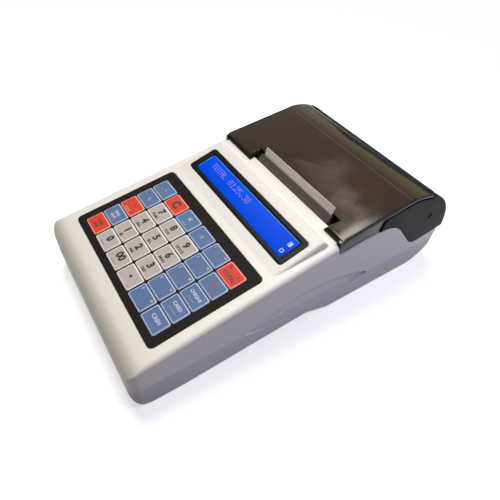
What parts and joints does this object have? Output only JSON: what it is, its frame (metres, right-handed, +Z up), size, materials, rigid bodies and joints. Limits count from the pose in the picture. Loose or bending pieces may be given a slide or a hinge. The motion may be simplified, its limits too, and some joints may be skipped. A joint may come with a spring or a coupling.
{
  "type": "ticket register",
  "caption": "portable ticket register: wedge casing with key pad and one-line display, hinged printer cover over a paper roll, geared platen and tilting print head",
  "frame": {"origin": "on the table plane, under the middle of the casing's box", "axes": "+X to the operator's right, +Y from the front edge to the rear, +Z up"},
  "size_m": [0.104, 0.196, 0.06],
  "materials": {
    "casing_white": "fine matt moulding",
    "casing_lower": "fine matt moulding",
    "charcoal_plastic": "matt charcoal moulding",
    "smoky_plastic": "polished smoky moulding",
    "steel": "turned",
    "black_panel": "satin film",
    "black_bezel": "gloss",
    "display_glass": "backlit blue",
    "mat_rubber": "silicone",
    "board": "solder mask over laminate",
    "frame_steel": "zinc plated",
    "platen_rubber": "ground",
    "gear_plastic": "acetal",
    "motor_can": "drawn can",
    "brass": "turned",
    "head_aluminium": "milled",
    "spring_steel": "spring strip",
    "tear_bar_plastic": "satin",
    "paper": "thermal paper",
    "core_board": "card tube",
    "battery_wrap": "shrink wrap",
    "foot_rubber": "moulded",
    "connector_black": "moulded",
    "key_number_plastic": "satin key top",
    "key_blue_plastic": "satin key top",
    "key_red_plastic": "satin key top"
  },
  "bodies": {
    "casing": {"lower_casing": "casing_lower", "upper_casing": "casing_white", "rear_housing": "charcoal_plastic", "cover_pins": "steel", "keypad_panel": "black_panel", "display_window": "black_bezel", "lcd_module": "display_glass", "key_mat": "mat_rubber", "keypad_board": "board", "main_board": "board", "printer_frame": "frame_steel", "feed_motor": "motor_can", "head_springs": "spring_steel", "tear_bar": "tear_bar_plastic", "paper_web": "paper", "battery_pack": "battery_wrap", "feet": "foot_rubber", "case_screws": "steel", "power_inlet": "connector_black", "serial_port": "connector_black"},
    "cover": {"printer_cover": "smoky_plastic"},
    "door": {"battery_door": "casing_lower"},
    "roll": {"paper_roll": "paper", "paper_core": "core_board"},
    "platen": {"platen_shaft": "steel", "platen_rubber": "platen_rubber", "platen_gear": "gear_plastic"},
    "idler": {"idler_gear": "gear_plastic"},
    "pinion": {"motor_pinion": "brass"},
    "head": {"print_head": "head_aluminium"},
    "button_cancel": {"key_cancel": "key_red_plastic"},
    "button_0": {"key_0": "key_number_plastic"},
    "button_00": {"key_00": "key_number_plastic"},
    "button_point": {"key_point": "key_number_plastic"},
    "button_dept_5": {"key_dept_5": "key_blue_plastic"},
    "button_cash": {"key_cash": "key_blue_plastic"},
    "button_paid_out": {"key_paid_out": "key_blue_plastic"},
    "button_1": {"key_1": "key_number_plastic"},
    "button_2": {"key_2": "key_number_plastic"},
    "button_3": {"key_3": "key_number_plastic"},
    "button_dept_4": {"key_dept_4": "key_blue_plastic"},
    "button_card": {"key_card": "key_blue_plastic"},
    "button_minus": {"key_minus": "key_red_plastic"},
    "button_4": {"key_4": "key_number_plastic"},
    "button_5": {"key_5": "key_number_plastic"},
    "button_6": {"key_6": "key_number_plastic"},
    "button_dept_3": {"key_dept_3": "key_blue_plastic"},
    "button_cheque": {"key_cheque": "key_blue_plastic"},
    "button_feed": {"key_feed": "key_blue_plastic"},
    "button_7": {"key_7": "key_number_plastic"},
    "button_8": {"key_8": "key_number_plastic"},
    "button_9": {"key_9": "key_number_plastic"},
    "button_dept_2": {"key_dept_2": "key_blue_plastic"},
    "button_subtotal": {"key_subtotal": "key_blue_plastic"},
    "button_function": {"key_function": "key_blue_plastic"},
    "button_clear": {"key_clear": "key_red_plastic"},
    "button_multiply": {"key_multiply": "key_blue_plastic"},
    "button_mode": {"key_mode": "key_blue_plastic"},
    "button_dept_1": {"key_dept_1": "key_blue_plastic"},
    "button_total": {"key_total": "key_red_plastic"}
  },
  "joints": [
    {"name": "cover_hinge", "type": "hinge", "parent": "casing", "child": "cover", "pos_m": [0, 0.0778, 0.04101], "axis": [-1, 0, 0], "range_deg": [0, 75]},
    {"name": "battery_door_slide", "type": "slide", "parent": "casing", "child": "door", "axis": [0, -1, 0], "range_m": [0, 0.03]},
    {"name": "roll_spin", "type": "hinge", "parent": "casing", "child": "roll", "pos_m": [0, 0.055, 0.03301], "axis": [1, 0, 0], "continuous": true},
    {"name": "platen_spin", "type": "hinge", "parent": "casing", "child": "platen", "pos_m": [0, 0.023, 0.04501], "axis": [1, 0, 0], "continuous": true},
    {"name": "idler_spin", "type": "hinge", "parent": "casing", "child": "idler", "pos_m": [0, 0.03442, 0.03968], "axis": [1, 0, 0], "continuous": true},
    {"name": "pinion_spin", "type": "hinge", "parent": "casing", "child": "pinion", "pos_m": [0, 0.04369, 0.0372], "axis": [1, 0, 0], "continuous": true},
    {"name": "head_pivot", "type": "hinge", "parent": "casing", "child": "head", "pos_m": [0, 0.0156, 0.03601], "axis": [1, 0, 0], "range_deg": [0, 1.5], "stiffness_Nm_per_rad": 0.5, "springref_deg": -1.15},
    {"name": "press_cancel", "type": "slide", "parent": "casing", "child": "button_cancel", "axis": [0, 0.1908, -0.9816], "range_m": [0, 0.0004], "stiffness_N_per_m": 600, "springref_m": -0.0003},
    {"name": "press_0", "type": "slide", "parent": "casing", "child": "button_0", "axis": [0, 0.1908, -0.9816], "range_m": [0, 0.0004], "stiffness_N_per_m": 600, "springref_m": -0.0003},
    {"name": "press_00", "type": "slide", "parent": "casing", "child": "button_00", "axis": [0, 0.1908, -0.9816], "range_m": [0, 0.0004], "stiffness_N_per_m": 600, "springref_m": -0.0003},
    {"name": "press_point", "type": "slide", "parent": "casing", "child": "button_point", "axis": [0, 0.1908, -0.9816], "range_m": [0, 0.0004], "stiffness_N_per_m": 600, "springref_m": -0.0003},
    {"name": "press_dept_5", "type": "slide", "parent": "casing", "child": "button_dept_5", "axis": [0, 0.1908, -0.9816], "range_m": [0, 0.0004], "stiffness_N_per_m": 600, "springref_m": -0.0003},
    {"name": "press_cash", "type": "slide", "parent": "casing", "child": "button_cash", "axis": [0, 0.1908, -0.9816], "range_m": [0, 0.0004], "stiffness_N_per_m": 600, "springref_m": -0.0003},
    {"name": "press_paid_out", "type": "slide", "parent": "casing", "child": "button_paid_out", "axis": [0, 0.1908, -0.9816], "range_m": [0, 0.0004], "stiffness_N_per_m": 600, "springref_m": -0.0003},
    {"name": "press_1", "type": "slide", "parent": "casing", "child": "button_1", "axis": [0, 0.1908, -0.9816], "range_m": [0, 0.0004], "stiffness_N_per_m": 600, "springref_m": -0.0003},
    {"name": "press_2", "type": "slide", "parent": "casing", "child": "button_2", "axis": [0, 0.1908, -0.9816], "range_m": [0, 0.0004], "stiffness_N_per_m": 600, "springref_m": -0.0003},
    {"name": "press_3", "type": "slide", "parent": "casing", "child": "button_3", "axis": [0, 0.1908, -0.9816], "range_m": [0, 0.0004], "stiffness_N_per_m": 600, "springref_m": -0.0003},
    {"name": "press_dept_4", "type": "slide", "parent": "casing", "child": "button_dept_4", "axis": [0, 0.1908, -0.9816], "range_m": [0, 0.0004], "stiffness_N_per_m": 600, "springref_m": -0.0003},
    {"name": "press_card", "type": "slide", "parent": "casing", "child": "button_card", "axis": [0, 0.1908, -0.9816], "range_m": [0, 0.0004], "stiffness_N_per_m": 600, "springref_m": -0.0003},
    {"name": "press_minus", "type": "slide", "parent": "casing", "child": "button_minus", "axis": [0, 0.1908, -0.9816], "range_m": [0, 0.0004], "stiffness_N_per_m": 600, "springref_m": -0.0003},
    {"name": "press_4", "type": "slide", "parent": "casing", "child": "button_4", "axis": [0, 0.1908, -0.9816], "range_m": [0, 0.0004], "stiffness_N_per_m": 600, "springref_m": -0.0003},
    {"name": "press_5", "type": "slide", "parent": "casing", "child": "button_5", "axis": [0, 0.1908, -0.9816], "range_m": [0, 0.0004], "stiffness_N_per_m": 600, "springref_m": -0.0003},
    {"name": "press_6", "type": "slide", "parent": "casing", "child": "button_6", "axis": [0, 0.1908, -0.9816], "range_m": [0, 0.0004], "stiffness_N_per_m": 600, "springref_m": -0.0003},
    {"name": "press_dept_3", "type": "slide", "parent": "casing", "child": "button_dept_3", "axis": [0, 0.1908, -0.9816], "range_m": [0, 0.0004], "stiffness_N_per_m": 600, "springref_m": -0.0003},
    {"name": "press_cheque", "type": "slide", "parent": "casing", "child": "button_cheque", "axis": [0, 0.1908, -0.9816], "range_m": [0, 0.0004], "stiffness_N_per_m": 600, "springref_m": -0.0003},
    {"name": "press_feed", "type": "slide", "parent": "casing", "child": "button_feed", "axis": [0, 0.1908, -0.9816], "range_m": [0, 0.0004], "stiffness_N_per_m": 600, "springref_m": -0.0003},
    {"name": "press_7", "type": "slide", "parent": "casing", "child": "button_7", "axis": [0, 0.1908, -0.9816], "range_m": [0, 0.0004], "stiffness_N_per_m": 600, "springref_m": -0.0003},
    {"name": "press_8", "type": "slide", "parent": "casing", "child": "button_8", "axis": [0, 0.1908, -0.9816], "range_m": [0, 0.0004], "stiffness_N_per_m": 600, "springref_m": -0.0003},
    {"name": "press_9", "type": "slide", "parent": "casing", "child": "button_9", "axis": [0, 0.1908, -0.9816], "range_m": [0, 0.0004], "stiffness_N_per_m": 600, "springref_m": -0.0003},
    {"name": "press_dept_2", "type": "slide", "parent": "casing", "child": "button_dept_2", "axis": [0, 0.1908, -0.9816], "range_m": [0, 0.0004], "stiffness_N_per_m": 600, "springref_m": -0.0003},
    {"name": "press_subtotal", "type": "slide", "parent": "casing", "child": "button_subtotal", "axis": [0, 0.1908, -0.9816], "range_m": [0, 0.0004], "stiffness_N_per_m": 600, "springref_m": -0.0003},
    {"name": "press_function", "type": "slide", "parent": "casing", "child": "button_function", "axis": [0, 0.1908, -0.9816], "range_m": [0, 0.0004], "stiffness_N_per_m": 600, "springref_m": -0.0003},
    {"name": "press_clear", "type": "slide", "parent": "casing", "child": "button_clear", "axis": [0, 0.1908, -0.9816], "range_m": [0, 0.0004], "stiffness_N_per_m": 600, "springref_m": -0.0003},
    {"name": "press_multiply", "type": "slide", "parent": "casing", "child": "button_multiply", "axis": [0, 0.1908, -0.9816], "range_m": [0, 0.0004], "stiffness_N_per_m": 600, "springref_m": -0.0003},
    {"name": "press_mode", "type": "slide", "parent": "casing", "child": "button_mode", "axis": [0, 0.1908, -0.9816], "range_m": [0, 0.0004], "stiffness_N_per_m": 600, "springref_m": -0.0003},
    {"name": "press_dept_1", "type": "slide", "parent": "casing", "child": "button_dept_1", "axis": [0, 0.1908, -0.9816], "range_m": [0, 0.0004], "stiffness_N_per_m": 600, "springref_m": -0.0003},
    {"name": "press_total", "type": "slide", "parent": "casing", "child": "button_total", "axis": [0, 0.1908, -0.9816], "range_m": [0, 0.0004], "stiffness_N_per_m": 600, "springref_m": -0.0003}
  ],
  "couplings": [
    {"joint": "platen_spin", "follows": "roll_spin", "ratio": -2.9091},
    {"joint": "idler_spin", "follows": "roll_spin", "ratio": 3.2},
    {"joint": "pinion_spin", "follows": "roll_spin", "ratio": -5.3333}
  ]
}
